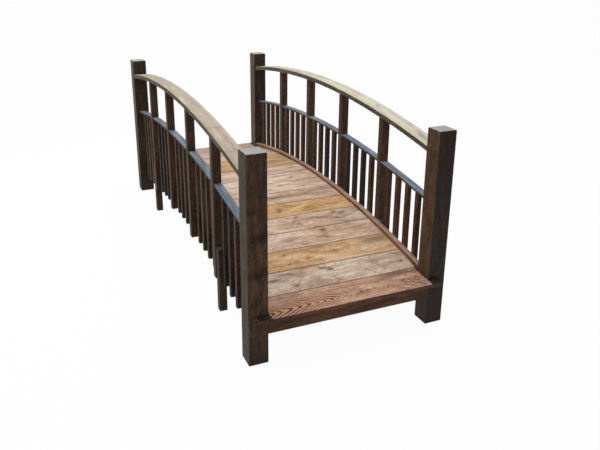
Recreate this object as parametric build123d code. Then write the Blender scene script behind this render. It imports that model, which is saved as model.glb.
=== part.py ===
from build123d import *
import math
import os

os.makedirs("parts", exist_ok=True)

# An arched garden bridge in stained softwood. X runs across the walkway, Y along it, Z up.
# The feet stand at Z = 0 and the middle of the bridge is at X = 0, Y = 0. Sizes are in millimetres.

# Corner posts
corner_post_side = 88.9
corner_post_height = 938.0
bridge_width = 966.0
bridge_length = 2402.0

# Handrails, each glued up from two bent layers
handrail_width = 78.0
handrail_inset = 2.0
handrail_layer = 12.5
handrail_crown = 943.0
handrail_rise = 96.0

# Mid rails
mid_rail_width = 38.0
mid_rail_thickness = 12.0
mid_rail_crown = 682.5
mid_rail_rise = 92.5

# Uprights between the corner posts
bays = 5
balusters_per_bay = 4
end_bay_allowance = 4.6
rail_post_width = 38.0
rail_post_depth = 42.0
rail_post_length = 722.0
baluster_width = 26.0
baluster_depth = 22.0
baluster_length = 475.0
leg_side = 38.0
leg_height = 330.0

# Walkway
walkway_inset = 60.0
deck_crown = 350.0
deck_rise = 112.5
board_thickness = 18.0
board_gap = 3.0
arched_boards = 14
end_seam_setback = 27.0
end_board_overhang = 41.0
end_board_fall = 11.0
ear_inset = 33.0
notch_clearance = 1.5
curb_width = 25.0
curb_crown_height = 18.0
curb_end_height = 26.5

# Bearers under the walkway
stringer_thickness = 38.0
stringer_depth = 110.0
cross_beam_thickness = 38.0
cross_beam_bottom = 140.0

# Places that follow from the sizes above
half_width = bridge_width / 2
post_inner_x = half_width - corner_post_side
post_outer_y = bridge_length / 2
post_inner_y = post_outer_y - corner_post_side
walkway_edge = half_width - walkway_inset
lap_plane = walkway_edge + mid_rail_width / 2
stringer_inner_x = walkway_edge - stringer_thickness
baluster_pitch = 2 * (post_inner_y - end_bay_allowance) / (bays * (balusters_per_bay + 1))
bay_length = baluster_pitch * (balusters_per_bay + 1)
end_seam_y = post_inner_y - end_seam_setback
bridge_front_y = post_outer_y + end_board_overhang
last_rail_post_y = bay_length * (bays - 2) / 2


def bend_radius(rise):
    """Radius of a bent piece that drops by rise from its middle to the corner posts."""
    return (rise * rise + post_inner_y * post_inner_y) / (2 * rise)


def curve_height(crown, radius, y):
    """Height at y of a curve whose highest point is at y = 0."""
    return crown - radius + math.sqrt(radius * radius - y * y)


handrail_radius = bend_radius(handrail_rise)
mid_rail_radius = bend_radius(mid_rail_rise)
deck_radius = bend_radius(deck_rise)
curb_crown = deck_crown + curb_crown_height
curb_radius = bend_radius(deck_rise + curb_crown_height - curb_end_height)
handrail_under_crown = handrail_crown - 2 * handrail_layer
handrail_under_radius = handrail_radius - 2 * handrail_layer
mid_rail_under_crown = mid_rail_crown - mid_rail_thickness
mid_rail_under_radius = mid_rail_radius - mid_rail_thickness
board_under_crown = deck_crown - board_thickness
board_under_radius = deck_radius - board_thickness
seam_top = curve_height(deck_crown, deck_radius, end_seam_y)
seam_under = curve_height(board_under_crown, board_under_radius, end_seam_y)
end_board_slope = end_board_fall / (bridge_front_y - end_seam_y)


def end_board_height(seam_height, y):
    """Height at y of a face of the end boards, which lie flatter than the arch."""
    return seam_height - end_board_slope * (abs(y) - end_seam_y)


def curve(crown, radius, y_from, y_to):
    """Edge that follows a bent face between two places along the bridge."""
    y_mid = (y_from + y_to) / 2
    start = (y_from, curve_height(crown, radius, y_from))
    middle = (y_mid, curve_height(crown, radius, y_mid))
    end = (y_to, curve_height(crown, radius, y_to))
    return ThreePointArc(start, middle, end)


def across(edges, x_from, x_to):
    """Solid with the given side outline, running across the bridge from x_from to x_to."""
    low = min(x_from, x_to)
    high = max(x_from, x_to)
    return extrude(Plane.YZ.offset(low) * make_face(edges), high - low)


def block(x_from, x_to, y_from, y_to, z_from, z_to):
    """Square-cut length of timber between three pairs of faces."""
    size = Box(abs(x_to - x_from), abs(y_to - y_from), abs(z_to - z_from))
    return Pos((x_from + x_to) / 2, (y_from + y_to) / 2, (z_from + z_to) / 2) * size


def bent_bar(x_from, x_to, crown, radius, thickness):
    """Bar bent to the arch, of even thickness, cut upright where it meets the corner posts."""
    top = curve(crown, radius, -post_inner_y, post_inner_y)
    under = curve(crown - thickness, radius - thickness, -post_inner_y, post_inner_y)
    front = Line(top @ 0, under @ 0)
    back = Line(top @ 1, under @ 1)
    return across([top, front, under, back], x_from, x_to)


def upright(x_from, x_to, y, width, crown, radius, length):
    """Upright with a square foot and a top scribed to the bent rail above it."""
    top = curve(crown, radius, y - width / 2, y + width / 2)
    foot = curve_height(crown, radius, y) - length
    front = Line(top @ 0, (y - width / 2, foot))
    sole = Line((y - width / 2, foot), (y + width / 2, foot))
    back = Line((y + width / 2, foot), top @ 1)
    return across([top, front, sole, back], x_from, x_to)


def save(solids, name):
    """Write one piece, or a set of like pieces, as one named part."""
    part = solids[0] if len(solids) == 1 else Compound(children=solids)
    export_step(part, f"parts/{name}.step")


sides = {"left": -1, "right": 1}
ends = {"front": -1, "back": 1}

# Corner posts
for end_name, end in ends.items():
    for side_name, side in sides.items():
        post = block(side * post_inner_x, side * half_width, end * post_inner_y, end * post_outer_y,
                     0, corner_post_height)
        save([post], f"corner_post_{end_name}_{side_name}")

# Handrails, the upper layer lying on the lower
for side_name, side in sides.items():
    outer_x = side * (half_width - handrail_inset)
    inner_x = outer_x - side * handrail_width
    upper = bent_bar(inner_x, outer_x, handrail_crown, handrail_radius, handrail_layer)
    lower = bent_bar(inner_x, outer_x, handrail_crown - handrail_layer,
                     handrail_radius - handrail_layer, handrail_layer)
    save([upper], f"handrail_upper_{side_name}")
    save([lower], f"handrail_lower_{side_name}")

# Mid rails and the rail posts they are halved into
rail_post_places = [bay_length * (k - (bays - 2) / 2) for k in range(bays - 1)]
for side_name, side in sides.items():
    lap_x = side * lap_plane
    rail_outer_x = side * (walkway_edge + mid_rail_width)
    mid_rail = bent_bar(side * walkway_edge, rail_outer_x, mid_rail_crown, mid_rail_radius,
                        mid_rail_thickness)
    rail_housing = bent_bar(side * walkway_edge, lap_x, mid_rail_crown, mid_rail_radius,
                            mid_rail_thickness)
    for number, y in enumerate(rail_post_places, start=1):
        post = upright(side * walkway_edge, side * (walkway_edge + rail_post_depth), y,
                       rail_post_width, handrail_under_crown, handrail_under_radius,
                       rail_post_length)
        save([post - rail_housing], f"rail_post_{side_name}_{number}")
        mid_rail -= block(lap_x, rail_outer_x, y - rail_post_width / 2, y + rail_post_width / 2,
                          0, mid_rail_crown)
    save([mid_rail], f"mid_rail_{side_name}")

# Balusters, nailed to the stringers and cut to fit under the mid rail
for side_name, side in sides.items():
    for bay in range(bays):
        bay_start = bay_length * (bay - bays / 2)
        bay_balusters = [
            upright(side * walkway_edge, side * (walkway_edge + baluster_depth),
                    bay_start + baluster_pitch * k, baluster_width,
                    mid_rail_under_crown, mid_rail_under_radius, baluster_length)
            for k in range(1, balusters_per_bay + 1)
        ]
        save(bay_balusters, f"balusters_{side_name}_bay_{bay + 1}")

# Legs, standing on the ground against the last rail posts
leg_near_y = last_rail_post_y + rail_post_width / 2
for end_name, end in ends.items():
    for side_name, side in sides.items():
        leg = block(side * walkway_edge, side * (walkway_edge + leg_side),
                    end * leg_near_y, end * (leg_near_y + leg_side), 0, leg_height)
        save([leg], f"leg_{end_name}_{side_name}")

# Curbs, shaped below to the arch and to the flatter end boards
post_top = end_board_height(seam_top, post_inner_y)
post_under = end_board_height(seam_under, post_inner_y)
for side_name, side in sides.items():
    crown_edge = curve(curb_crown, curb_radius, -post_inner_y, post_inner_y)
    seat = curve(deck_crown, deck_radius, -end_seam_y, end_seam_y)
    outline = [
        crown_edge,
        Line(crown_edge @ 0, (-post_inner_y, post_top)),
        Line((-post_inner_y, post_top), seat @ 0),
        seat,
        Line(seat @ 1, (post_inner_y, post_top)),
        Line((post_inner_y, post_top), crown_edge @ 1),
    ]
    save([across(outline, side * walkway_edge, side * (walkway_edge - curb_width))],
         f"curb_{side_name}")

# Stringers, sawn to the arch of the boards they carry
for side_name, side in sides.items():
    seat = curve(board_under_crown, board_under_radius, -end_seam_y, end_seam_y)
    belly = curve(board_under_crown - stringer_depth, board_under_radius - stringer_depth,
                  -post_inner_y, post_inner_y)
    outline = [
        belly,
        Line(belly @ 0, (-post_inner_y, post_under)),
        Line((-post_inner_y, post_under), seat @ 0),
        seat,
        Line(seat @ 1, (post_inner_y, post_under)),
        Line((post_inner_y, post_under), belly @ 1),
    ]
    save([across(outline, side * walkway_edge, side * stringer_inner_x)], f"stringer_{side_name}")

# Cross beams between the corner posts, bevelled on top to the end boards
for end_name, end in ends.items():
    outer_y = end * post_outer_y
    inner_y = end * (post_outer_y - cross_beam_thickness)
    section = Polyline(
        (outer_y, cross_beam_bottom),
        (outer_y, end_board_height(seam_under, outer_y)),
        (inner_y, end_board_height(seam_under, inner_y)),
        (inner_y, cross_beam_bottom),
        close=True,
    )
    save([across([section], -post_inner_x, post_inner_x)], f"cross_beam_{end_name}")

# Boards over the arch, with edges that point at the middle of the curve
board_angle = 2 * math.asin(end_seam_y / deck_radius) / arched_boards
gap_angle = board_gap / deck_radius
centre_z = deck_crown - deck_radius


def at_angle(radius, angle):
    """Point on a curve about the middle of the arch, measured from straight up."""
    return (radius * math.sin(angle), centre_z + radius * math.cos(angle))


def deck_board(number):
    """One board across the arch, counted from the front."""
    start = board_angle * (number - arched_boards / 2) + gap_angle / 2
    end = start + board_angle - gap_angle
    middle = (start + end) / 2
    top = ThreePointArc(at_angle(deck_radius, start), at_angle(deck_radius, middle),
                        at_angle(deck_radius, end))
    under = ThreePointArc(at_angle(board_under_radius, start),
                          at_angle(board_under_radius, middle),
                          at_angle(board_under_radius, end))
    outline = [top, Line(top @ 0, under @ 0), under, Line(top @ 1, under @ 1)]
    return across(outline, -walkway_edge, walkway_edge)


middle_board = arched_boards // 2
outer_set = (middle_board + 1) // 2
board_sets = {
    "deck_boards_front": range(0, outer_set),
    "deck_boards_front_middle": range(outer_set, middle_board),
    "deck_boards_back_middle": range(middle_board, arched_boards - outer_set),
    "deck_boards_back": range(arched_boards - outer_set, arched_boards),
}
for set_name, numbers in board_sets.items():
    save([deck_board(number) for number in numbers], set_name)

# End boards, notched round the corner posts and reaching past them
for end_name, end in ends.items():
    inner_y = end * (end_seam_y + board_gap / 2)
    outer_y = end * bridge_front_y
    section = Polyline(
        (inner_y, end_board_height(seam_top, inner_y)),
        (outer_y, end_board_height(seam_top, outer_y)),
        (outer_y, end_board_height(seam_under, outer_y)),
        (inner_y, end_board_height(seam_under, inner_y)),
        close=True,
    )
    board = across([section], -(half_width - ear_inset), half_width - ear_inset)
    for side in sides.values():
        notch = block(side * (post_inner_x - notch_clearance), side * half_width,
                      end * (post_inner_y - notch_clearance), end * (post_outer_y + notch_clearance),
                      0, deck_crown)
        side_trim = block(side * walkway_edge, side * half_width, end * (inner_y * end - board_gap),
                          end * post_inner_y, 0, deck_crown)
        board -= notch
        board -= side_trim
    save([board], f"end_board_{end_name}")
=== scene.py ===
import math
import random

import bmesh
import bpy
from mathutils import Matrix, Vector


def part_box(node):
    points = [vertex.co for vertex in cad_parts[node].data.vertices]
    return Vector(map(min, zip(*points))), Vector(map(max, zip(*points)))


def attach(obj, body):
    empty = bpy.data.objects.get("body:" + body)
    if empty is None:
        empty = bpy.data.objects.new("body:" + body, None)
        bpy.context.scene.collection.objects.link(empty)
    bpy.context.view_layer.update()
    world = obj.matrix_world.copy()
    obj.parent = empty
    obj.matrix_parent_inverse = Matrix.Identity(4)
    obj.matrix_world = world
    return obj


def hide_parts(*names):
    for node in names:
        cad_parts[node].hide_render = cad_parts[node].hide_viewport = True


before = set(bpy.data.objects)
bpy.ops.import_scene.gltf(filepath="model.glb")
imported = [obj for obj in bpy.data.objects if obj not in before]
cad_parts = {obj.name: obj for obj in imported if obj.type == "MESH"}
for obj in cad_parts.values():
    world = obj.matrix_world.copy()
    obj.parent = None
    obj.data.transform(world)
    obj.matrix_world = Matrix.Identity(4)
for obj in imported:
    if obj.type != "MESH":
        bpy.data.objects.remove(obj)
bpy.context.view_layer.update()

# Corner posts: four square lengths of planed softwood that stand on the ground.
# They are stained dark brown, and their arrises are eased with a plane. Their sawn
# tops show rings under a grey that is painted as a reflection of the sky.
post_easing = 0.0025
post_top_bevel = 0.003


def paint(code):
    """Colour from its six-figure code, as the shaders want it."""
    parts = [int(code[k:k + 2], 16) / 255 for k in (1, 3, 5)]
    return tuple(c / 12.92 if c <= 0.04045 else ((c + 0.055) / 1.055) ** 2.4 for c in parts) + (1.0,)


def eased_section(a_low, a_high, b_low, b_high, easing):
    """Points round a timber's section with rounded arrises, each with the side that follows it."""
    corners = [
        (a_high - easing, b_low + easing, -90, "a_high"),
        (a_high - easing, b_high - easing, 0, "b_high"),
        (a_low + easing, b_high - easing, 90, "a_low"),
        (a_low + easing, b_low + easing, 180, "b_low"),
    ]
    points = []
    for a, b, start, side in corners:
        for turn in (0, 30, 60, 90):
            angle = math.radians(start + turn)
            points.append((a + easing * math.cos(angle), b + easing * math.sin(angle), side, turn))
    return points


side_before = {"a_high": "b_low", "b_high": "a_high", "a_low": "b_high", "b_low": "a_low"}


def finished_piece(name, shape, finishes):
    """Piece made from a worked shape, with its finishes on and its shading evened."""
    mesh = bpy.data.meshes.new(name)
    shape.to_mesh(mesh)
    shape.free()
    for finish in finishes:
        mesh.materials.append(finish)
    piece = bpy.data.objects.new(name, mesh)
    bpy.context.collection.objects.link(piece)
    piece.modifiers.new("even_shading", "WEIGHTED_NORMAL")
    return piece


def even_stations(first, last, section, steps):
    """Stations spaced evenly from first to last, all with the same section."""
    return [(first + (last - first) * k / steps, section) for k in range(steps + 1)]


def timber(name, stations, place, easing, finishes, sides=None, end_easing=None, centred=True,
           log_end=None):
    """One length of timber, lofted through its sections and closed with eased ends.

    A station is a distance along the timber and the section there: low and high edge each way.
    Each piece comes from its own stretch of log, unless log_end says where that starts.
    """
    end_easing = easing if end_easing is None else end_easing
    sides = sides or {}
    shape = bmesh.new()
    grain = shape.verts.layers.float_vector.new("grain")
    arris_wear_and_seam_shade = shape.verts.layers.float.new("arris_wear_and_seam_shade")
    start = random.uniform(3, 9) if log_end is None else log_end
    first_u, first = stations[0]
    last_u, last = stations[-1]
    step = 1 if last_u > first_u else -1
    shrink = lambda s, by: (s[0] + by, s[1] - by, s[2] + by, s[3] - by)
    run = [(first_u, first, end_easing), (first_u + step * end_easing, first, 0)]
    run += [(u, section, 0) for u, section in stations[1:-1]]
    run += [(last_u - step * end_easing, last, 0), (last_u, last, end_easing)]
    rings = []
    for u, section, inset in run:
        ring = []
        hold = section if centred else first
        a_mid = (hold[0] + hold[1]) / 2
        b_mid = (hold[2] + hold[3]) / 2
        for a, b, side, turn in eased_section(*shrink(section, inset), max(easing - inset, easing * 0.4)):
            vert = shape.verts.new(place(u, a, b))
            vert[grain] = (u + start, a - a_mid, b - b_mid)
            vert[arris_wear_and_seam_shade] = 1.0 if turn in (30, 60) or inset else 0.0
            ring.append((vert, side, turn))
        rings.append(ring)
    for ring, following in zip(rings, rings[1:]):
        for k, (vert, side, turn) in enumerate(ring):
            beside = (k + 1) % len(ring)
            quad = [vert, ring[beside][0], following[beside][0], following[k][0]]
            face = shape.faces.new(quad)
            face.smooth = True
            face.material_index = sides.get(side, 0)
            if turn != 90:
                face.material_index = max(face.material_index, sides.get(side_before[side], 0))
    for ring, end_name in ((rings[0], "start"), (rings[-1], "end")):
        cap = shape.faces.new([vert for vert, _, _ in ring])
        cap.material_index = sides.get(end_name, 0)
    bmesh.ops.recalc_face_normals(shape, faces=shape.faces)
    return finished_piece(name, shape, finishes)


def set_in(piece, node):
    """Put a piece on the bridge in place of its plain solid."""
    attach(piece, "root")
    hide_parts(node)
    return piece


def wire(tree, kind, feeds=None, **settings):
    """One node of a finish, with its settings, its fixed values and what feeds it."""
    made = tree.nodes.new("ShaderNode" + kind)
    for key, value in settings.items():
        setattr(made, key, value)
    for socket, feed in (feeds or {}).items():
        if isinstance(feed, bpy.types.NodeSocket):
            tree.links.new(feed, made.inputs[socket])
        else:
            made.inputs[socket].default_value = feed
    return made


def sum_of(tree, operation, *feeds):
    """Result of one sum on plain numbers."""
    return wire(tree, "Math", dict(enumerate(feeds)), operation=operation).outputs[0]


def vector_of(tree, operation, *feeds):
    """Result of one sum on vectors."""
    made = wire(tree, "VectorMath", dict(enumerate(feeds)), operation=operation)
    return made.outputs["Value" if operation in ("LENGTH", "DISTANCE") else "Vector"]


def mixed(tree, share, base, over):
    """Colour that goes from base to over as share goes from 0 to 1."""
    made = wire(tree, "Mix", {0: share, 6: base, 7: over}, data_type="RGBA")
    return made.outputs[2]


def laid_over(tree, colour, share, strength, code):
    """Colour with another laid over it by a share, at a strength."""
    return mixed(tree, sum_of(tree, "MULTIPLY", share, strength), colour, paint(code))


def ramped(tree, value, low, high):
    """Value spread from 0 at low to 1 at high, with soft ends."""
    feeds = {0: value, 1: low, 2: high, 3: 0.0, 4: 1.0}
    return wire(tree, "MapRange", feeds, interpolation_type="SMOOTHSTEP").outputs[0]


def new_finish(name):
    """A finish to be built up, with its nodes, its shader and the way of the grain."""
    finish = bpy.data.materials.new(name)
    finish.use_nodes = True
    tree = finish.node_tree
    grain = wire(tree, "Attribute", attribute_name="grain").outputs["Vector"]
    return finish, tree, tree.nodes["Principled BSDF"], grain


def surface(tree, shader, colour, relief, depth, strength, rough):
    """Give a finish its colour, its roughness and the relief of its grain."""
    tree.links.new(colour, shader.inputs["Base Color"])
    shader.inputs["Roughness"].default_value = rough
    bump = wire(tree, "Bump", {"Height": relief, "Distance": depth, "Strength": strength})
    tree.links.new(bump.outputs[0], shader.inputs["Normal"])


def mottle(tree, grain, stretch, detail=4.0, twist=0.0):
    """Noise drawn out along the grain: stretch is how often it changes each way, per metre."""
    spread = vector_of(tree, "MULTIPLY", grain, stretch)
    feeds = {"Vector": spread, "Scale": 1.0, "Detail": detail, "Distortion": twist}
    return wire(tree, "TexNoise", feeds).outputs["Fac"]


def wander(tree, grain, stretch):
    """Noise about zero in all three ways, to bend a pattern with."""
    spread = vector_of(tree, "MULTIPLY", grain, stretch)
    noise = wire(tree, "TexNoise", {"Vector": spread, "Scale": 1.0, "Detail": 3.0}).outputs["Color"]
    return vector_of(tree, "SUBTRACT", noise, (0.5, 0.5, 0.5))


def ring_years(tree, grain, pith, spacing, taper, waver, knots=()):
    """Count of yearly rings out from the pith, bent round the knots."""
    stray = vector_of(tree, "MULTIPLY", wander(tree, grain, (3.0, 10, 10)), (0, waver, waver))
    from_pith = vector_of(tree, "SUBTRACT", vector_of(tree, "ADD", grain, stray), (0, *pith))
    along = wire(tree, "SeparateXYZ", {0: grain}).outputs[0]
    radius = vector_of(tree, "LENGTH", vector_of(tree, "MULTIPLY", from_pith, (0, 1, 1)))
    radius = sum_of(tree, "ADD", radius, sum_of(tree, "MULTIPLY", along, taper))
    for u, a, size in knots:
        away = vector_of(tree, "MULTIPLY", vector_of(tree, "SUBTRACT", grain, (u, a, 0)), (0.42, 1, 0))
        nearness = sum_of(tree, "DIVIDE", vector_of(tree, "LENGTH", away), size * 3.0)
        swell = sum_of(tree, "EXPONENT", sum_of(tree, "MULTIPLY", sum_of(tree, "POWER", nearness, 2.0), -1.0))
        radius = sum_of(tree, "ADD", radius, sum_of(tree, "MULTIPLY", swell, size * 3.5))
    return sum_of(tree, "DIVIDE", radius, spacing)


def growth_rings(tree, grain, pith, spacing, taper, waver, knots=()):
    """How dark the yearly rings are, from 0 in spring wood to 1 in summer wood."""
    years = ring_years(tree, grain, pith, spacing, taper, waver, knots)
    within = sum_of(tree, "FRACT", years)
    rise = sum_of(tree, "POWER", within, 1.6)
    fall = ramped(tree, within, 1.0, 0.90)
    year = sum_of(tree, "FLOOR", years)
    strength = wire(tree, "TexWhiteNoise", {"W": year}, noise_dimensions="1D").outputs[0]
    strength = sum_of(tree, "ADD", sum_of(tree, "MULTIPLY", strength, 0.8), 0.2)
    return sum_of(tree, "MULTIPLY", sum_of(tree, "MULTIPLY", rise, fall), strength)


def smudge(tree, grain, u, a, half_u, half_a, slant=0.0):
    """Soft patch in the wood at a place on its face, drawn out along and across, and leaning."""
    ragged = vector_of(tree, "MULTIPLY", wander(tree, grain, (22, 60, 60)), (half_u * 1.6, half_a * 1.6, 0))
    apart = vector_of(tree, "SUBTRACT", vector_of(tree, "ADD", grain, ragged), (u, a, 0))
    split = wire(tree, "SeparateXYZ", {0: apart}).outputs
    leaned = sum_of(tree, "SUBTRACT", split[1], sum_of(tree, "MULTIPLY", split[0], slant))
    across = sum_of(tree, "POWER", sum_of(tree, "DIVIDE", leaned, half_a), 2.0)
    lengthwise = sum_of(tree, "POWER", sum_of(tree, "DIVIDE", split[0], half_u), 2.0)
    spread = sum_of(tree, "ADD", across, lengthwise)
    return sum_of(tree, "EXPONENT", sum_of(tree, "MULTIPLY", spread, -1.0))


def stained_timber(name, deep, warm, worn, rough=0.6, marks=()):
    """Planed softwood under a dark stain that takes unevenly and rubs off the arrises."""
    finish, tree, shader, grain = new_finish(name)
    arris_wear_and_seam_shade = wire(tree, "Attribute", attribute_name="arris_wear_and_seam_shade").outputs["Fac"]
    rings = growth_rings(tree, grain, pith=(0.05, 0.02), spacing=0.006, taper=0.02, waver=0.03)
    streaks = mottle(tree, grain, (6.0, 42, 42), 5.0, 0.6)
    patches = mottle(tree, grain, (8.0, 15, 15), 3.0, 0.8)
    flecks = mottle(tree, grain, (45, 150, 150), 3.0, 0.5)
    fibres = mottle(tree, grain, (14, 420, 420), 2.0)
    colour = mixed(tree, ramped(tree, streaks, 0.34, 0.66), paint(deep), paint(warm))
    colour = laid_over(tree, colour, ramped(tree, flecks, 0.52, 0.66), 0.55, deep)
    colour = laid_over(tree, colour, ramped(tree, flecks, 0.46, 0.34), 0.5, worn)
    colour = laid_over(tree, colour, ramped(tree, patches, 0.48, 0.72), 0.6, deep)
    colour = laid_over(tree, colour, rings, 0.3, deep)
    for mark in marks:
        colour = laid_over(tree, colour, smudge(tree, grain, *mark[:5]), mark[5], "#1d1813")
    rubbed = sum_of(tree, "MULTIPLY", arris_wear_and_seam_shade, ramped(tree, patches, 0.3, 0.6))
    colour = laid_over(tree, colour, rubbed, 0.35, worn)
    relief = sum_of(tree, "ADD", sum_of(tree, "MULTIPLY", rings, 0.6), fibres)
    surface(tree, shader, colour, relief, depth=0.0004, strength=0.5, rough=rough)
    shader.inputs["Specular IOR Level"].default_value = 0.2
    return finish


def end_grain_with_sky_reflection(name, pale, shade):
    """Sawn end of a post: rings round the pith, under a grey painted as a reflection of the sky."""
    finish, tree, shader, grain = new_finish(name)
    rings = growth_rings(tree, grain, pith=(0.018, -0.012), spacing=0.0042, taper=0.0, waver=0.012)
    blotches = mottle(tree, grain, (20, 26, 26), 4.0)
    colour = laid_over(tree, paint(pale), rings, 0.5, shade)
    colour = laid_over(tree, colour, ramped(tree, blotches, 0.5, 0.75), 0.35, shade)
    surface(tree, shader, colour, rings, depth=0.0006, strength=0.5, rough=0.7)
    return finish


random.seed(41)
# Marks in a face: place along and across it, half length, half width, lean and strength.
front_left_marks = [(0.585, 0.012, 0.028, 0.044, 0.9, 0.95), (0.425, 0.010, 0.026, 0.044, 0.8, 0.95),
                    (0.700, -0.016, 0.012, 0.024, 0.5, 0.8), (0.760, 0.020, 0.012, 0.016, 0.0, 0.4),
                    (0.300, -0.010, 0.022, 0.026, 0.6, 0.6), (0.015, 0.0, 0.075, 0.09, 0.0, 0.75)]
front_right_marks = [(0.400, 0.012, 0.020, 0.020, 0.3, 0.6), (0.660, -0.010, 0.015, 0.030, -0.6, 0.5),
                     (0.020, 0.0, 0.08, 0.09, 0.0, 0.7)]
# Each corner post has two copies of its stain, as painted light and shade: the first for the faces in shade,
# the second for the face turned to the left, where the light falls.
post_lit_and_shaded_stains = {
    "corner_post_front_left": (
        stained_timber("post_shaded_faces_front_left", "#402e21", "#6b503b", "#85705c", marks=front_left_marks),
        stained_timber("post_lit_side_front_left", "#3b3025", "#5d4c3a", "#7b6958", marks=front_left_marks)),
    "corner_post_front_right": (
        stained_timber("post_shaded_faces_front_right", "#271f19", "#40332a", "#5e5046", marks=front_right_marks),
        stained_timber("post_lit_side_front_right", "#452f22", "#6a4f3c", "#80695a", marks=front_right_marks)),
    "corner_post_back_left": (
        stained_timber("post_shaded_faces_back_left", "#33261b", "#4d3a2c", "#6b5a48"),
        stained_timber("post_lit_side_back_left", "#403c2b", "#69634b", "#858068",
                       marks=[(0.050, 0.0, 0.220, 0.2, 0.0, 0.97), (0.400, 0.0, 0.200, 0.2, 0.0, 0.4)])),
    "corner_post_back_right": (
        stained_timber("post_shaded_faces_back_right", "#2f221c", "#4a372c", "#6b5a4e"),
        stained_timber("post_lit_side_back_right", "#4a3d33", "#6a5848", "#857566")),
}
# The grey of the post tops is painted as a reflection of the sky, over the rings of the sawn ends.
post_top_grain_and_sky_reflection = end_grain_with_sky_reflection("post_top_grain_and_sky_reflection", "#aaa8a6", "#8b8987")
upright_at = lambda z, x, y: Vector((x, y, z))

for node in ("corner_post_front_left", "corner_post_front_right", "corner_post_back_left",
             "corner_post_back_right"):
    low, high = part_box(node)
    section = (low[0], high[0], low[1], high[1])
    stations = even_stations(low[2], high[2], section, 8)
    shaded_faces_stain, lit_side_stain = post_lit_and_shaded_stains[node]
    finishes = [shaded_faces_stain, post_top_grain_and_sky_reflection, lit_side_stain]
    post = timber(node + "_timber", stations, upright_at, post_easing, finishes,
                  {"end": 1, "a_low": 2}, post_top_bevel, log_end=0.0)
    set_in(post, node)

# Stringers: two planks on edge, sawn to the arch, that carry the ends of all the boards.
# They reach from corner post to corner post and are stained dark.
post_face = 1.1121
deck_crown = 0.350
deck_rise = 0.1125
board_thickness = 0.018
seam_setback = 0.027
end_seam = post_face - seam_setback
end_edge = 1.242
end_board_drop = 0.011
stringer_depth = 0.110
bearer_easing = 0.002


def arch_radius(rise):
    """Radius of a curve that falls by rise from its crown to the post faces."""
    return (rise * rise + post_face * post_face) / (2 * rise)


def bend(crown, rise, y, inward=0.0):
    """Height at y of a curve that falls by rise from its crown to the post faces.

    The curve runs parallel to that one, nearer its centre by the distance inward.
    """
    radius = arch_radius(rise)
    return crown - radius + math.sqrt((radius - inward) ** 2 - y * y)


def deck_height(y, inward=0.0):
    """Height of the walkway at y, over the arch and out along the flatter end boards."""
    if abs(y) <= end_seam:
        return bend(deck_crown, deck_rise, y, inward)
    slope = end_board_drop / (end_edge - end_seam)
    return bend(deck_crown, deck_rise, end_seam, inward) - slope * (abs(y) - end_seam)


def along(y_from, y_to, spacing=0.04, extra=()):
    """Places for the sections of a timber that runs along the bridge."""
    count = max(2, round(abs(y_to - y_from) / spacing))
    places = {y_from + (y_to - y_from) * k / count for k in range(count + 1)}
    return sorted(places | set(extra))


lengthwise_at = lambda y, x, z: Vector((x, y, z))
bearer_stain = stained_timber("bearer_stain", "#2c211a", "#3f2e24", "#5f4c3f")
for name in ("left", "right"):
    node = "stringer_" + name
    low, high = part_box(node)
    stations = []
    for y in along(-post_face, post_face, 0.05, (-end_seam, end_seam)):
        under = bend(deck_crown, deck_rise, y, board_thickness + stringer_depth)
        stations.append((y, (low[0], high[0], under, deck_height(y, board_thickness))))
    set_in(timber(node + "_timber", stations, lengthwise_at, bearer_easing, [bearer_stain]), node)

# Cross beams: a plank on edge at each end, fixed between the corner posts and flush with
# their outer faces. It carries the end board, and its reddish stain is painted lighter to make up for the
# shade under the end board's front edge.
crosswise_at = lambda x, y, z: Vector((x, y, z))
# The beam's reddish stain is painted lighter to make up for the shade under the end board's front edge.
beam_stain_lightened_for_shade = stained_timber("cross_beam_stain_lightened_for_shade", "#5a3a29", "#8a6149", "#93735d",
                            marks=[(-0.370, 0.0, 0.110, 0.08, 0.0, 0.55),
                                   (0.375, 0.0, 0.080, 0.08, 0.0, 0.45),
                                   (0.060, -0.010, 0.060, 0.020, 0.0, 0.4)])
for name in ("front", "back"):
    node = "cross_beam_" + name
    low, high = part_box(node)
    section = (low[1], high[1], low[2], min(deck_height(low[1], board_thickness),
                                           deck_height(high[1], board_thickness)))
    stations = even_stations(low[0], high[0], section, 6)
    set_in(timber(node + "_timber", stations, crosswise_at, bearer_easing, [beam_stain_lightened_for_shade],
                  log_end=0.0), node)

# Boards: fourteen planed softwood boards across the arch, fixed down to the stringers.
# Each came from another log, so some are ochre and some pinkish or grey, with their own
# knots, and the summer wood stands out where feet and rain have worn the surface.
board_easing = 0.0022
half_gap = 0.0015
board_sink = 0.0004
planed_off = 0.0005
board_rocking = 0.0006


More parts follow.
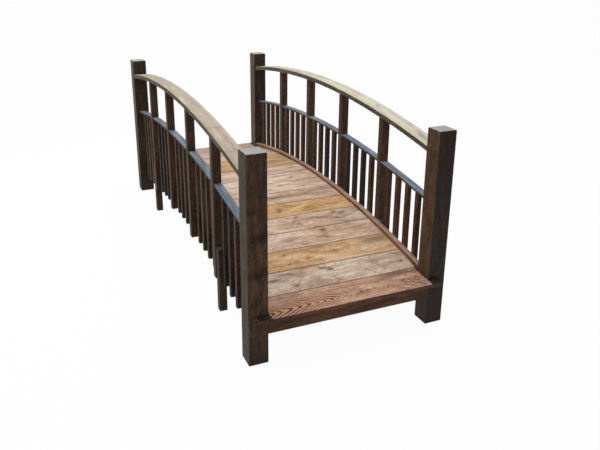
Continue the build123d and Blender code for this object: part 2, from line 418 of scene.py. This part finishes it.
def deck_wood(name, spring, summer, tint, pale, pith, knots=(), marks=(), contrast=0.7, streaked=0.55):
    """Planed board wood, clear finished: rings, long streaks, knots, grey patches, and arrises darkened as
    painted shade along the seams.
    """
    finish, tree, shader, grain = new_finish(name)
    arris_wear_and_seam_shade = wire(tree, "Attribute", attribute_name="arris_wear_and_seam_shade").outputs["Fac"]
    shifted = vector_of(tree, "ADD", grain, (pith[0] * 90, 0, 0))
    rings = growth_rings(tree, grain, pith, spacing=0.012, taper=0.07, waver=0.03, knots=knots)
    dark_streaks = mottle(tree, shifted, (2.2, 42, 42), 5.0, 0.5)
    pale_streaks = mottle(tree, shifted, (3.0, 55, 55), 4.0, 0.8)
    fibres = mottle(tree, shifted, (30, 260, 260), 3.0)
    veins = mottle(tree, shifted, (8, 26, 26), 5.0, 1.8)
    veins = sum_of(tree, "ABSOLUTE", sum_of(tree, "SUBTRACT", veins, 0.5))
    crackle = mottle(tree, shifted, (15, 48, 48), 4.0, 1.2)
    crackle = sum_of(tree, "ABSOLUTE", sum_of(tree, "SUBTRACT", crackle, 0.47))
    shreds = mottle(tree, shifted, (22, 70, 70), 4.0, 1.0)
    vein_paint = [share * 0.62 for share in paint(summer)[:3]] + [1.0]
    colour = laid_over(tree, paint(spring), rings, contrast, summer)
    colour = laid_over(tree, colour, ramped(tree, shreds, 0.52, 0.72), 0.6, summer)
    colour = laid_over(tree, colour, ramped(tree, shreds, 0.47, 0.33), 0.75, pale)
    colour = laid_over(tree, colour, ramped(tree, dark_streaks, 0.52, 0.70), streaked, tint)
    colour = laid_over(tree, colour, ramped(tree, pale_streaks, 0.55, 0.70), 0.55, pale)
    tan = mottle(tree, vector_of(tree, "ADD", shifted, (3.7, 0, 0)), (4.0, 12, 12), 3.0, 0.8)
    colour = laid_over(tree, colour, ramped(tree, tan, 0.50, 0.66), 0.45, "#cc9a6c")
    clouds = mottle(tree, shifted, (5.0, 15, 15), 3.0, 1.0)
    colour = laid_over(tree, colour, ramped(tree, clouds, 0.49, 0.64), 0.8, pale)
    colour = laid_over(tree, colour, ramped(tree, clouds, 0.46, 0.30), 0.8, summer)
    colour = mixed(tree, sum_of(tree, "MULTIPLY", ramped(tree, veins, 0.022, 0.0), 0.7), colour, vein_paint)
    colour = laid_over(tree, colour, ramped(tree, crackle, 0.030, 0.005), 0.25, "#845a45")
    for mark in marks:
        colour = laid_over(tree, colour, smudge(tree, grain, *mark[:5]), mark[5], "#6b5041")
    for u, a, size in knots:
        halo = smudge(tree, grain, u, a, size * 3.6, size * 2.0)
        core = smudge(tree, grain, u, a, size * 1.3, size * 0.8, 0.4)
        colour = laid_over(tree, colour, halo, 0.65, summer)
        colour = mixed(tree, core, colour, paint("#5a443b"))
    colour = laid_over(tree, colour, ramped(tree, fibres, 0.5, 0.75), 0.3, summer)
    # The eased arrises are darkened here as painted shade in the seams between the boards.
    colour = laid_over(tree, colour, arris_wear_and_seam_shade, 0.5, "#6d5240")
    relief = sum_of(tree, "ADD", rings, sum_of(tree, "MULTIPLY", fibres, 0.4))
    surface(tree, shader, colour, relief, depth=0.0008, strength=0.6, rough=0.7)
    shader.inputs["Specular IOR Level"].default_value = 0.25
    return finish


# For each board: spring wood, summer wood, dark streaks, pale streaks, place of the pith, knots
# (along, across, size) and grey marks (along, across, half length, half width, lean, strength).
board_looks = [
    ("#e2c8b0", "#b08f79", "#bda898", "#efdfcb", (0.10, -0.06),
     [(-0.196, -0.038, 0.0085), (0.358, -0.010, 0.007), (0.002, 0.030, 0.007)],
     [(-0.285, 0.022, 0.032, 0.007, 0.0, 0.85), (-0.200, 0.046, 0.050, 0.009, -0.15, 0.75),
      (-0.018, 0.044, 0.045, 0.008, -0.6, 0.85), (-0.005, -0.025, 0.020, 0.007, 0.0, 0.8),
      (0.014, -0.052, 0.014, 0.007, -0.8, 0.6), (0.370, 0.050, 0.034, 0.012, 0.0, 0.6),
      (0.164, -0.021, 0.016, 0.006, 0.0, 0.6), (-0.184, -0.030, 0.018, 0.005, 0.9, 0.8),
      (-0.208, -0.032, 0.014, 0.005, -0.9, 0.7)]),
    ("#e6bc8f", "#b78658", "#bf9768", "#efcfa6", (-0.12, -0.05),
     [(-0.166, -0.037, 0.006), (-0.061, -0.014, 0.0055)],
     [(0.025, 0.062, 0.10, 0.012, 0.0, 0.7), (0.083, 0.008, 0.048, 0.006, -0.1, 0.7),
      (0.330, 0.040, 0.090, 0.030, 0.1, 0.7), (-0.162, 0.036, 0.012, 0.005, 0.0, 0.6),
      (-0.010, -0.045, 0.060, 0.010, 0.1, 0.4)]),
    ("#e0bfa6", "#b8927a", "#c3a48f", "#edd8c4", (0.06, -0.09), [(0.116, 0.045, 0.012)],
     [(0.105, -0.020, 0.048, 0.008, -0.3, 0.8), (-0.090, -0.005, 0.034, 0.006, 0.1, 0.6),
      (-0.020, -0.057, 0.034, 0.006, 0.0, 0.7), (0.290, 0.020, 0.064, 0.007, 0.1, 0.5),
      (0.116, 0.010, 0.014, 0.040, 1.2, 0.5)]),
    ("#dcbda5", "#ab8973", "#a9978c", "#ecdbc9", (0.02, -0.04),
     [(0.255, 0.052, 0.011), (0.038, 0.055, 0.008), (0.027, -0.013, 0.0065)],
     [(0.300, 0.034, 0.026, 0.015, 0.5, 0.8), (0.225, -0.010, 0.085, 0.010, -0.35, 0.8),
      (0.275, -0.060, 0.060, 0.009, -0.3, 0.75), (0.130, 0.020, 0.075, 0.010, 0.0, 0.6),
      (0.020, 0.020, 0.050, 0.010, 1.0, 0.5)]),
    ("#dfb182", "#b0834f", "#bc9160", "#ecc798", (-0.05, -0.08), [(0.148, -0.005, 0.007)],
     [(-0.017, -0.002, 0.020, 0.030, 1.2, 0.7), (0.298, -0.009, 0.036, 0.007, 0.0, 0.7),
      (0.070, 0.030, 0.060, 0.010, 0.1, 0.4)]),
    ("#d6b89d", "#a78a74", "#a08c7f", "#e6d2bd", (0.09, -0.05), [(0.210, 0.010, 0.008)],
     [(0.020, 0.010, 0.150, 0.020, 0.05, 0.7), (0.300, 0.045, 0.085, 0.010, 0.0, 0.5)]),
    ("#e3c6ae", "#bd9e88", "#c5ae9a", "#f0dccb", (-0.03, -0.10), [(0.120, 0.020, 0.008)],
     [(0.250, -0.030, 0.065, 0.009, 0.1, 0.5), (0.050, -0.030, 0.040, 0.008, -0.2, 0.5)]),
    ("#e0c3aa", "#b6967e", "#c0a994", "#efdcc7", (0.05, -0.06), [(0.240, -0.020, 0.008)],
     [(0.140, 0.030, 0.065, 0.010, -0.1, 0.5)]),
    ("#dec0a9", "#b4937c", "#bba491", "#ecd6c3", (-0.08, -0.07), [(0.330, 0.020, 0.008)],
     [(0.150, -0.020, 0.085, 0.010, 0.0, 0.5)]),
    ("#cfa57e", "#a87e55", "#b28a66", "#dfbb93", (0.04, -0.06), [(0.180, 0.0, 0.009)],
     [(0.300, 0.030, 0.055, 0.010, 0.0, 0.5)]),
    ("#cea57f", "#a67f59", "#b08b69", "#debb97", (-0.04, -0.07), [(0.350, -0.020, 0.009)],
     [(0.200, 0.010, 0.065, 0.010, 0.0, 0.5)]),
    ("#d3b6a0", "#ad8f79", "#b39d8b", "#e3ccb8", (0.07, -0.05), [(0.270, 0.010, 0.008)],
     [(-0.200, 0.010, 0.060, 0.010, 0.0, 0.5)]),
    ("#d1b59e", "#ac9079", "#ae9a88", "#e1cbb7", (-0.06, -0.08), [(-0.120, 0.010, 0.007)],
     [(0.150, -0.010, 0.060, 0.010, 0.0, 0.5)]),
    ("#caae97", "#a78a74", "#a89382", "#dbc5b1", (0.03, -0.06), [(0.030, -0.010, 0.008)],
     [(0.280, 0.020, 0.060, 0.010, 0.0, 0.5)]),
]
board_sets = (["deck_boards_front"] * 4 + ["deck_boards_front_middle"] * 3
              + ["deck_boards_back_middle"] * 3 + ["deck_boards_back"] * 4)
deck_radius = arch_radius(deck_rise)
deck_centre = deck_crown - deck_radius
board_turn = 2 * math.asin(end_seam / deck_radius) / len(board_looks)
random.seed(7)
for number, look in enumerate(board_looks):
    node = board_sets[number]
    low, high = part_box(node)
    turn = board_turn * (number - len(board_looks) / 2 + 0.5)
    half = deck_radius * math.sin(board_turn / 2) - half_gap
    flat = deck_radius * math.cos(board_turn / 2)
    tilt = random.uniform(-board_rocking, board_rocking)

    def across_arch(x, a, b):
        """Point of this board, which lies flat on the stringers at its own slope."""
        reach = flat + b - board_sink + tilt * a / half
        return Vector((x, a * math.cos(turn) + reach * math.sin(turn),
                       deck_centre + reach * math.cos(turn) - a * math.sin(turn)))

    section = (-half, half, planed_off - board_thickness, 0)
    stations = even_stations(low[0], high[0], section, 14)
    wood = deck_wood(f"board_{number + 1}_wood", *look)
    board = timber(f"deck_board_{number + 1:02d}", stations, across_arch, board_easing, [wood], log_end=0.0)
    set_in(board, node)

# End boards: one wide board at each end, notched round both corner posts, with an ear in
# front of each post. The front one was sawn near the heart, and its rings run out in flames.
notch_gap = 0.0015
end_board_easing = 0.002


def outlined_board(name, outline, height, thickness, easing, finishes):
    """A board cut to an outline seen from above, with every arris eased.

    The first finish goes on the edges and underside, and the second on the top.
    """
    shape = bmesh.new()
    low_ring = [shape.verts.new((x, y, height(y) - thickness)) for x, y in outline]
    high_ring = [shape.verts.new((x, y, height(y))) for x, y in outline]
    shape.faces.new(low_ring[::-1])
    shape.faces.new(high_ring)
    for k in range(len(outline)):
        beside = (k + 1) % len(outline)
        shape.faces.new([low_ring[k], low_ring[beside], high_ring[beside], high_ring[k]])
    bmesh.ops.recalc_face_normals(shape, faces=shape.faces)
    bmesh.ops.bevel(shape, geom=list(shape.edges), offset=easing, segments=3, profile=0.5,
                    affect="EDGES")
    grain = shape.verts.layers.float_vector.new("grain")
    shape.verts.layers.float.new("arris_wear_and_seam_shade")
    for vert in shape.verts:
        x, y, z = vert.co
        vert[grain] = (x, y, z - height(y))
    for face in shape.faces:
        face.smooth = True
        face.material_index = 1 if face.normal.z > 0.9 else 0
    return finished_piece(name, shape, finishes)


flame_marks = [
    (0.300, -1.105, 0.100, 0.016, 0.0, 0.9), (0.375, -1.115, 0.040, 0.016, 0.0, 0.65),
    (0.318, -1.195, 0.070, 0.006, -0.5, 1.0), (0.350, -1.185, 0.050, 0.005, -0.5, 1.0),
    (0.285, -1.205, 0.050, 0.005, -0.5, 0.9), (0.372, -1.170, 0.030, 0.005, -0.5, 0.9),
    (-0.200, -1.150, 0.110, 0.010, 0.1, 0.5), (0.075, -1.184, 0.040, 0.012, 0.0, 0.5),
    (-0.050, -1.165, 0.080, 0.012, 0.1, 0.5), (0.020, -1.200, 0.060, 0.008, 0.2, 0.5),
]


def worked_over(finish):
    """A finish taken up again: its nodes, its shader, its colour so far and the way of the grain."""
    tree = finish.node_tree
    shader = tree.nodes["Principled BSDF"]
    so_far = shader.inputs["Base Color"].links[0].from_socket
    grain = wire(tree, "Attribute", attribute_name="grain").outputs["Vector"]
    return tree, shader, so_far, grain


def flame_wood(name, base, tint, pale, grey, orange, line, slope):
    """Heart wood whose rings run out in flames of grey and orange along a line in the board."""
    finish = deck_wood(name, base, tint, "#8d6f60", pale, (line, -0.05), contrast=0.4, streaked=0.8,
                       marks=flame_marks)
    tree, shader, plain, grain = worked_over(finish)
    split = wire(tree, "SeparateXYZ", {0: grain}).outputs
    flame_line = sum_of(tree, "ADD", sum_of(tree, "MULTIPLY", split[0], slope), line)
    off_line = sum_of(tree, "SUBTRACT", split[1], flame_line)
    flat = wire(tree, "CombineXYZ", {"X": split[0], "Y": off_line, "Z": split[2]}).outputs[0]
    years = ring_years(tree, flat, pith=(0.0, -0.010), spacing=0.0125, taper=0.33, waver=0.034)
    wave = sum_of(tree, "SINE", sum_of(tree, "MULTIPLY", years, 2 * math.pi))
    near_line = ramped(tree, sum_of(tree, "ABSOLUTE", off_line), 0.058, 0.030)
    near_line = sum_of(tree, "MULTIPLY", near_line,
                       ramped(tree, mottle(tree, grain, (14, 40, 40), 3.0), 0.30, 0.46))
    left = ramped(tree, split[0], 0.02, -0.10)
    speckled = sum_of(tree, "MULTIPLY", ramped(tree, mottle(tree, grain, (30, 70, 70), 3.0), 0.47, 0.6), 0.8)
    shown = sum_of(tree, "MULTIPLY", near_line, sum_of(tree, "MAXIMUM", left, speckled))
    colour = laid_over(tree, plain, shown, ramped(tree, wave, -0.1, 0.6), grey)
    colour = laid_over(tree, colour, shown, ramped(tree, wave, -0.2, -0.8), orange)
    tree.links.new(colour, shader.inputs["Base Color"])
    return finish


def paint_post_shadow_on_ears(finish, from_x, shade):
    """Paint the corner posts' shadow on the ears beside the walkway, as a dark colour beyond from_x."""
    tree, shader, walked, grain = worked_over(finish)
    off_middle = sum_of(tree, "ABSOLUTE", wire(tree, "SeparateXYZ", {0: grain}).outputs[0])
    ragged = sum_of(tree, "MULTIPLY", mottle(tree, grain, (60, 60, 60), 2.0), 0.012)
    off_middle = sum_of(tree, "ADD", off_middle, ragged)
    colour = mixed(tree, ramped(tree, off_middle, from_x, from_x + 0.006), walked, paint(shade))
    tree.links.new(colour, shader.inputs["Base Color"])


end_edge_stain = stained_timber("end_board_edge_stain", "#573828", "#835a44", "#8d6c57",
                                marks=[(-0.400, -1.240, 0.080, 0.05, 0.0, 0.6),
                                       (0.430, -1.240, 0.050, 0.05, 0.0, 0.5)])
end_looks = {
    "front": flame_wood("end_board_front_wood", "#d0a58c", "#97766a", "#e8c0a2", "#454650", "#e89c66",
                        -1.180, 0.067),
    "back": deck_wood("end_board_back_wood", "#c4a58f", "#9b8070", "#a48d7f", "#d8bba2", (1.150, -0.05)),
}
for end, name in ((-1, "front"), (1, "back")):
    node = "end_board_" + name
    low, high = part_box(node)
    post_low, post_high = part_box(f"corner_post_{name}_right")
    inner = end_seam + half_gap
    post_inner_x = post_low[0] - notch_gap
    near_post = min(abs(post_low[1]), abs(post_high[1])) - notch_gap
    past_post = max(abs(post_low[1]), abs(post_high[1])) + notch_gap
    edge_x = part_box("stringer_right")[1][0]
    # The ears' tops beyond the posts' inner faces are painted dark as the corner posts' shadow.
    paint_post_shadow_on_ears(end_looks[name], post_inner_x, "#322b29")
    half_outline = [(edge_x, inner), (edge_x, near_post), (post_inner_x, near_post),
                    (post_inner_x, past_post), (high[0], past_post), (high[0], end_edge)]
    outline = [(x, end * y) for x, y in half_outline]
    outline += [(-x, end * y) for x, y in reversed(half_outline)]
    end_thickness = deck_height(end_seam) - deck_height(end_seam, board_thickness)
    board = outlined_board(node + "_timber", outline, deck_height, end_thickness,
                           end_board_easing, [end_edge_stain, end_looks[name]])
    set_in(board, node)

# Curbs: a strip along each side of the walkway, on the board ends and against the balusters.
# Its underside is shaped to the walkway. Its top is painted lighter, as lit, and its sides darker, as in
# shade.
curb_crown_height = 0.018
curb_end_height = 0.0265
curb_easing = 0.002
curb_crown = deck_crown + curb_crown_height
curb_rise = deck_rise + curb_crown_height - curb_end_height
# The curb's stain has two copies: the sides painted darker as in shade and the top painted lighter as lit.
curb_shaded_faces_stain = stained_timber("curb_shaded_faces_stain", "#64422e", "#936a50", "#a58774")
curb_lit_top = stained_timber("curb_top_painted_light", "#9a7c69", "#c2a28c", "#cdb3a0")
for name in ("left", "right"):
    node = "curb_" + name
    low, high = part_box(node)
    stations = [(y, (low[0], high[0], deck_height(y), bend(curb_crown, curb_rise, y)))
                for y in along(-post_face, post_face, 0.04, (-end_seam, end_seam))]
    set_in(timber(node + "_timber", stations, lengthwise_at, curb_easing,
                  [curb_shaded_faces_stain, curb_lit_top], {"b_high": 1}), node)

# Rail posts: four on each side, fixed to the stringers, up to the underside of the handrail.
# Their tops are scribed to its curve, and a housing half their depth takes the mid rail.
handrail_crown = 0.9427
handrail_rise = 0.096
handrail_thickness = 0.025
mid_rail_crown = 0.6825
mid_rail_rise = 0.0925
mid_rail_thickness = 0.012
rail_posts = 4
rail_post_easing = 0.0015
scribe_length = 0.05
cut_end_easing = 0.001
under_handrail = lambda y: bend(handrail_crown, handrail_rise, y, handrail_thickness)
over_mid_rail = lambda y: bend(mid_rail_crown, mid_rail_rise, y)
under_mid_rail = lambda y: bend(mid_rail_crown, mid_rail_rise, y, mid_rail_thickness)
rail_post_stain = stained_timber("rail_post_stain", "#3d2b20", "#5e4534", "#7c6553")


def scribed_upright(name, section, foot, under_rail, easing, finishes, housing=()):
    """An upright whose top is cut to the curve of the rail above it."""
    middle = (section[2] + section[3]) / 2
    top = under_rail(middle)
    scribe_from = top - scribe_length
    stations = [(foot, section), (foot + (scribe_from - foot) * 0.3, section), *housing,
                (scribe_from, section), (top, section)]

    def place(z, x, y):
        """Point of the upright: only its last stretch follows the rail."""
        share = max(0.0, (z - scribe_from) / (top - scribe_from))
        return Vector((x, y, z + share * (under_rail(y) - top)))

    return timber(name, stations, place, easing, finishes, end_easing=cut_end_easing,
                  centred=False)


random.seed(19)
for side, name in ((-1, "left"), (1, "right")):
    rail_low, rail_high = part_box("mid_rail_" + name)
    lap_x = (rail_low[0] + rail_high[0]) / 2
    for number in range(1, rail_posts + 1):
        node = f"rail_post_{name}_{number}"
        low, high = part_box(node)
        section = (low[0], high[0], low[1], high[1])
        notched = (lap_x, high[0], low[1], high[1]) if side > 0 else (low[0], lap_x, low[1], high[1])
        middle = (low[1] + high[1]) / 2
        rail_top = over_mid_rail(middle)
        rail_under = under_mid_rail(middle)
        housing = [(rail_under, section), (rail_under, notched), (rail_top, notched), (rail_top, section)]
        post = scribed_upright(node + "_timber", section, low[2], under_handrail, rail_post_easing,
                               [rail_post_stain], housing)
        set_in(post, node)

# Legs: short square props on the ground, one against the outer side of each last rail post.
# They hold the arch up nearly two thirds of the way from its middle to its ends.
leg_easing = 0.0015
leg_stain = stained_timber("leg_stain", "#33291f", "#544434", "#736353")
for node in ("leg_front_left", "leg_front_right", "leg_back_left", "leg_back_right"):
    low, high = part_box(node)
    section = (low[0], high[0], low[1], high[1])
    stations = even_stations(low[2], high[2], section, 4)
    set_in(timber(node + "_timber", stations, upright_at, leg_easing, [leg_stain]), node)

# Mid rails: a thin strip bent to the arch on each side and halved into the rail posts.
# It is stained like them, and its top is painted blue grey as a reflection of the sky.
mid_rail_easing = 0.0012
rail_side_stain = stained_timber("mid_rail_stain", "#382b22", "#54443a", "#75675b")
# The blue grey of the mid rail tops is a painted reflection of the sky.
rail_top_sky_reflection = stained_timber("mid_rail_top_sky_reflection", "#667686", "#93a4b1", "#abb6be", rough=0.5)
for side, name in ((-1, "left"), (1, "right")):
    node = "mid_rail_" + name
    low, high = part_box(node)
    lap_x = (low[0] + high[0]) / 2
    whole = (low[0], high[0])
    halved = (low[0], lap_x) if side > 0 else (lap_x, high[0])
    notches = [(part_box(f"rail_post_{name}_{k}")[0][1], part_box(f"rail_post_{name}_{k}")[1][1])
               for k in range(1, rail_posts + 1)]
    stations = []
    for y in along(-post_face, post_face, 0.05, [edge for pair in notches for edge in pair]):
        heights = (under_mid_rail(y), over_mid_rail(y))
        starts = any(abs(y - near) < 1e-6 for near, far in notches)
        ends = any(abs(y - far) < 1e-6 for near, far in notches)
        inside = any(near < y < far for near, far in notches)
        if starts:
            stations += [(y, (*whole, *heights)), (y, (*halved, *heights))]
        elif ends:
            stations += [(y, (*halved, *heights)), (y, (*whole, *heights))]
        else:
            stations.append((y, (*(halved if inside else whole), *heights)))
    rail = timber(node + "_timber", stations, lengthwise_at, mid_rail_easing,
                  [rail_side_stain, rail_top_sky_reflection], {"b_high": 1})
    set_in(rail, node)

# Balusters: four thin uprights in each bay, set against the stringer and cut to fit under
# the mid rail.
# The stain took differently on each, so some are redder and some almost black.
baluster_stains = [
    stained_timber("baluster_stain_brown", "#37251a", "#5b4130", "#7a614e"),
    stained_timber("baluster_stain_red", "#40261b", "#664132", "#846150"),
    stained_timber("baluster_stain_black", "#241b15", "#40312a", "#64544a"),
    stained_timber("baluster_stain_olive", "#352c1e", "#574a34", "#746850"),
]
baluster_width = 0.026
baluster_length = 0.475
end_bay_allowance = 0.0046
baluster_easing = 0.0012
bays = rail_posts + 1
balusters_per_bay = 4
baluster_pitch = 2 * (post_face - end_bay_allowance) / (bays * (balusters_per_bay + 1))
random.seed(23)
for name in ("left", "right"):
    for bay in range(bays):
        node = f"balusters_{name}_bay_{bay + 1}"
        low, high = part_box(node)
        for k in range(1, balusters_per_bay + 1):
            y = baluster_pitch * ((balusters_per_bay + 1) * (bay - bays / 2) + k)
            foot = under_mid_rail(y) - baluster_length
            section = (low[0], high[0], y - baluster_width / 2, y + baluster_width / 2)
            baluster = scribed_upright(f"baluster_{name}_{bay + 1}_{k}", section, foot, under_mid_rail,
                                       baluster_easing, [random.choice(baluster_stains)])
            set_in(baluster, node)

# Handrails: a flat rail on each side, made up of two strips bent over the rail posts.
# The edges keep the dark stain, and sun and hands have bleached the top to a pale cream.
layer_thickness = handrail_thickness / 2
handrail_easing = 0.0015


def bleached_top(name, near, far, inner_near, inner_far, outer_edge, side, marks):
    """Top of a handrail: pale wood, greyer to the back, green where algae grow on the inner edge."""
    finish, tree, shader, grain = new_finish(name)
    split = wire(tree, "SeparateXYZ", {0: grain}).outputs
    rings = growth_rings(tree, grain, pith=(0.03, -0.06), spacing=0.005, taper=0.01, waver=0.02)
    streaks = mottle(tree, grain, (2.0, 60, 60), 5.0, 0.5)
    specks = mottle(tree, grain, (30, 160, 160), 3.0)
    to_back = ramped(tree, split[0], -post_face, post_face)
    across = sum_of(tree, "MULTIPLY", split[1], float(side))
    uneven = sum_of(tree, "MULTIPLY", sum_of(tree, "SUBTRACT", streaks, 0.5), 0.04)
    across = sum_of(tree, "ADD", across, uneven)
    colour = mixed(tree, to_back, paint(near), paint(far))
    colour = mixed(tree, ramped(tree, across, 0.008, 0.036), colour, paint(outer_edge))
    colour = mixed(tree, ramped(tree, across, -0.014, -0.036), colour,
                   mixed(tree, to_back, paint(inner_near), paint(inner_far)))
    clouds = mottle(tree, grain, (7, 26, 26), 3.0, 0.8)
    colour = laid_over(tree, colour, ramped(tree, clouds, 0.48, 0.30), 0.45, "#e6dcc0")
    colour = laid_over(tree, colour, ramped(tree, clouds, 0.52, 0.70), 0.5, "#a99a92")
    colour = laid_over(tree, colour, rings, 0.35, "#9c8b72")
    colour = laid_over(tree, colour, ramped(tree, streaks, 0.5, 0.7), 0.5, "#a3948a")
    for mark in marks:
        colour = laid_over(tree, colour, smudge(tree, grain, *mark[:5]), mark[5], "#8f7a72")
    colour = laid_over(tree, colour, ramped(tree, specks, 0.55, 0.75), 0.35, "#94846f")
    surface(tree, shader, colour, rings, depth=0.0004, strength=0.4, rough=0.7)
    shader.inputs["Specular IOR Level"].default_value = 0.3
    return finish


rail_edge_stain = stained_timber("handrail_edge_stain", "#463a2f", "#706252", "#8a7c6c")
rail_tops = {
    "left": bleached_top("handrail_top_left", "#c2b19c", "#9c998b", "#c3baa6", "#a19e92", "#b0a48e", -1,
                         [(-0.663, 0.0, 0.011, 0.045, 0.0, 0.6), (-0.685, 0.010, 0.030, 0.012, 0.3, 0.35),
                          (-0.800, 0.012, 0.050, 0.016, 0.2, 0.35), (-0.925, 0.010, 0.030, 0.030, 0.4, 0.4),
                          (-0.500, 0.015, 0.080, 0.012, 0.1, 0.35),
                          (-0.250, 0.010, 0.090, 0.020, 0.0, 0.35)]),
    "right": bleached_top("handrail_top_right", "#e0d9c8", "#cbc8b2", "#dad6b4", "#959d76", "#d3c8bb", 1,
                          [(0.110, 0.016, 0.050, 0.012, 0.0, 0.6), (-0.587, 0.006, 0.022, 0.010, 0.3, 0.6),
                           (-1.000, 0.0, 0.040, 0.012, 0.2, 0.6), (-0.300, 0.010, 0.060, 0.006, 0.0, 0.3)]),
}
random.seed(31)
for name in ("left", "right"):
    for layer, depth in (("upper", 0.0), ("lower", layer_thickness)):
        node = f"handrail_{layer}_{name}"
        low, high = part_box(node)
        stations = [(y, (low[0], high[0], bend(handrail_crown, handrail_rise, y, depth + layer_thickness),
                         bend(handrail_crown, handrail_rise, y, depth)))
                    for y in along(-post_face, post_face, 0.04)]
        finishes = [rail_edge_stain, rail_tops[name]] if layer == "upper" else [rail_edge_stain]
        sides = {"b_high": 1} if layer == "upper" else {}
        set_in(timber(node + "_timber", stations, lengthwise_at, handrail_easing, finishes, sides,
                      log_end=0.0), node)

# Studio: a plain white floor and backdrop under soft light from above and from the left,
# with the camera at standing eye height, a little to the left of the bridge's front end.
floor_reflectance = 0.42
sky_brightness = 0.42
floor_mesh = bpy.data.meshes.new("studio_floor")
floor_mesh.from_pydata([(-20, -20, 0), (20, -20, 0), (20, 20, 0), (-20, 20, 0)], [], [(0, 1, 2, 3)])
floor = bpy.data.objects.new("studio_floor", floor_mesh)
floor.location.z = -0.0005
bpy.context.collection.objects.link(floor)
floor_white = bpy.data.materials.new("studio_white")
floor_white.use_nodes = True
floor_tree = floor_white.node_tree
floor_tree.nodes.clear()
rays = wire(floor_tree, "LightPath")
floor_grey = (floor_reflectance, floor_reflectance, floor_reflectance, 1)
tone = mixed(floor_tree, rays.outputs["Is Camera Ray"], floor_grey, (0.9, 0.9, 0.9, 1))
matt = wire(floor_tree, "BsdfDiffuse", {"Color": tone})
glow = wire(floor_tree, "Emission", {"Color": (1, 1, 1, 1), "Strength": 1.0})
seen = sum_of(floor_tree, "MAXIMUM", rays.outputs["Is Camera Ray"], rays.outputs["Is Glossy Ray"])
seen = sum_of(floor_tree, "MAXIMUM", seen, rays.outputs["Is Transmission Ray"])
seen = sum_of(floor_tree, "MULTIPLY", seen, 0.97)
shown = wire(floor_tree, "MixShader", {0: seen, 1: matt.outputs[0], 2: glow.outputs[0]})
wire(floor_tree, "OutputMaterial", {0: shown.outputs[0]})
floor_mesh.materials.append(floor_white)

world = bpy.data.worlds.new("studio_sky")
bpy.context.scene.world = world
world.use_nodes = True
sky_tree = world.node_tree
sky = sky_tree.nodes["Background"]
sky_rays = wire(sky_tree, "LightPath")
sky_level = sum_of(sky_tree, "MAXIMUM", sky_rays.outputs["Is Camera Ray"], sky_brightness)
sky_tree.links.new(sky_level, sky.inputs["Strength"])
sky.inputs["Color"].default_value = (1, 1, 1, 1)

studio_lamps = (("top_light", (-0.6, 0.8, 4.0), 4.0, 125), ("left_light", (-4.2, 1.0, 2.4), 3.0, 18))
for name, place, size, power in studio_lamps:
    lamp = bpy.data.lights.new(name, "AREA")
    lamp.shape = "SQUARE"
    lamp.size = size
    lamp.energy = power
    light = bpy.data.objects.new(name, lamp)
    light.location = place
    light.rotation_euler = (Vector((0, 0, 0.3)) - Vector(place)).to_track_quat("-Z", "Y").to_euler()
    bpy.context.collection.objects.link(light)

lens = bpy.data.cameras.new("camera")
lens.lens = 39.76
lens.sensor_width = 36
lens.shift_x = 0.01514
lens.shift_y = -0.08395
camera = bpy.data.objects.new("camera", lens)
camera.location = (-1.2606, -3.4605, 1.6815)
camera.rotation_euler = (math.radians(71.013), math.radians(-0.268), math.radians(-23.035))
bpy.context.collection.objects.link(camera)
bpy.context.scene.camera = camera
bpy.context.scene.view_settings.view_transform = "Standard"
